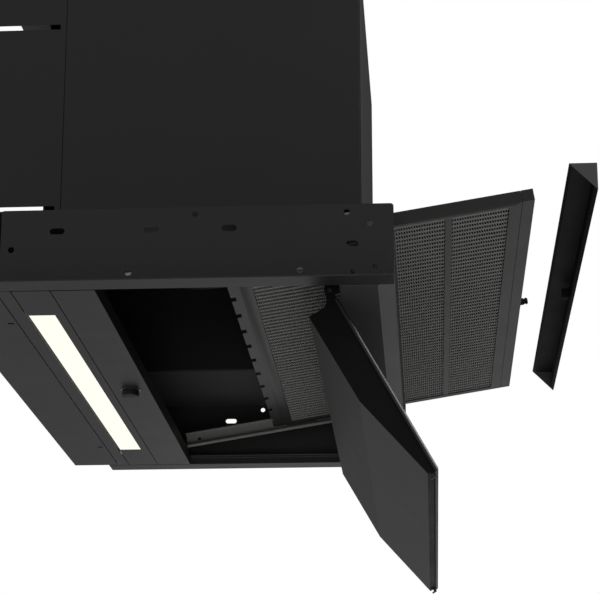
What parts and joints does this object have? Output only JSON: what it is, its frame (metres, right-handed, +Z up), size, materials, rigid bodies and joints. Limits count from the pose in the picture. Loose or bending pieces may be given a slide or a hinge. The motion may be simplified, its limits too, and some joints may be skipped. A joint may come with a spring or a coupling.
{
  "type": "built-in cooker hood",
  "caption": "Black built-in cooker hood with motor housing, lamp panel, pull-out grease filter cassette, hanging intake flap and detachable front trim.",
  "frame": {"origin": "on the centre line of the hood, where the wall plane behind it meets the plane of its underside", "axes": "+X to the right seen from the front's left side wall to its right one (width), +Y towards the wall behind, +Z up"},
  "size_m": [0.598, 0.4373, 0.4606],
  "materials": {
    "casing_black": "satin",
    "mesh_black": "satin",
    "filter_wool": "matte",
    "knob_black": "matte",
    "lamp_diffuser": "matte",
    "lamp_board": "matte",
    "zinc_steel": "satin",
    "motor_grey": "matte",
    "blower_plastic": "matte",
    "bezel_metal": "satin"
  },
  "bodies": {
    "housing": {"backdraft_pins": "zinc_steel", "blower_scroll": "blower_plastic", "capacitor": "knob_black", "casing_screws": "zinc_steel", "control_panel": "casing_black", "duct_collar": "knob_black", "front_bar": "casing_black", "guide_rails": "casing_black", "hinge_brackets": "casing_black", "hinge_pins": "zinc_steel", "inlet_rings": "zinc_steel", "knob_bezel": "bezel_metal", "led_board": "lamp_board", "led_diffuser": "lamp_diffuser", "led_driver": "knob_black", "led_tray": "zinc_steel", "light_panel": "casing_black", "motor": "motor_grey", "motor_box_front": "casing_black", "motor_box_lid": "casing_black", "motor_box_rear": "casing_black", "motor_box_side_left": "casing_black", "motor_box_side_right": "casing_black", "motor_bracket": "zinc_steel", "motor_bracket_screws": "zinc_steel", "rail_brackets": "casing_black", "rear_spacer": "casing_black", "rear_wall": "casing_black", "rotary_switch": "knob_black", "side_wall_left": "casing_black", "side_wall_right": "casing_black", "terminal_box": "knob_black", "top_plate": "casing_black", "trim_strip_left": "casing_black", "trim_strip_right": "casing_black", "wall_flanges": "casing_black"},
    "filter": {"filter_front_rail": "casing_black", "filter_frame": "casing_black", "filter_rear_strip": "casing_black", "filter_mid_bar": "casing_black", "filter_mesh_front": "mesh_black", "filter_mesh_rear": "mesh_black", "filter_top_mesh": "mesh_black", "filter_wool": "filter_wool", "slide_shoes": "knob_black", "filter_peg": "knob_black"},
    "fascia": {"fascia_profile": "casing_black", "fascia_end_caps": "knob_black", "fascia_clip": "knob_black"},
    "flap": {"flap_outer_skin": "casing_black", "flap_inner_skin": "casing_black", "flap_cheeks": "knob_black", "flap_catches": "casing_black"},
    "knob": {"control_knob": "knob_black", "knob_shaft": "zinc_steel"},
    "impeller": {"impeller": "blower_plastic", "impeller_rims": "blower_plastic", "rotor_shaft": "zinc_steel"},
    "damper_rear": {"backdraft_flap_rear": "knob_black"},
    "damper_front": {"backdraft_flap_front": "knob_black"}
  },
  "joints": [
    {"name": "filter_slide", "type": "slide", "parent": "housing", "child": "filter", "axis": [0, -0.9871, 0.1599], "range_m": [-0.084, 0.08]},
    {"name": "fascia_fit", "type": "slide", "parent": "filter", "child": "fascia", "axis": [0, 0.9871, -0.1599], "range_m": [0, 0.0329]},
    {"name": "flap_hinge", "type": "hinge", "parent": "housing", "child": "flap", "pos_m": [0, -0.2597, 0.0025], "axis": [1, 0, 0], "range_deg": [0, 119]},
    {"name": "knob_turn", "type": "hinge", "parent": "housing", "child": "knob", "pos_m": [-0.005, -0.0909, -0.003], "axis": [0, 0, 1], "range_deg": [0, 135]},
    {"name": "impeller_spin", "type": "hinge", "parent": "housing", "child": "impeller", "pos_m": [0, -0.14, 0.19], "axis": [1, 0, 0], "continuous": true},
    {"name": "damper_rear_hinge", "type": "hinge", "parent": "housing", "child": "damper_rear", "pos_m": [0, -0.1783, 0.3186], "axis": [1, 0, 0], "range_deg": [0, 80]},
    {"name": "damper_front_hinge", "type": "hinge", "parent": "housing", "child": "damper_front", "pos_m": [0, -0.1847, 0.3186], "axis": [1, 0, 0], "range_deg": [-80, 0]}
  ],
  "couplings": [
    {"joint": "damper_front_hinge", "follows": "damper_rear_hinge", "ratio": -1}
  ]
}
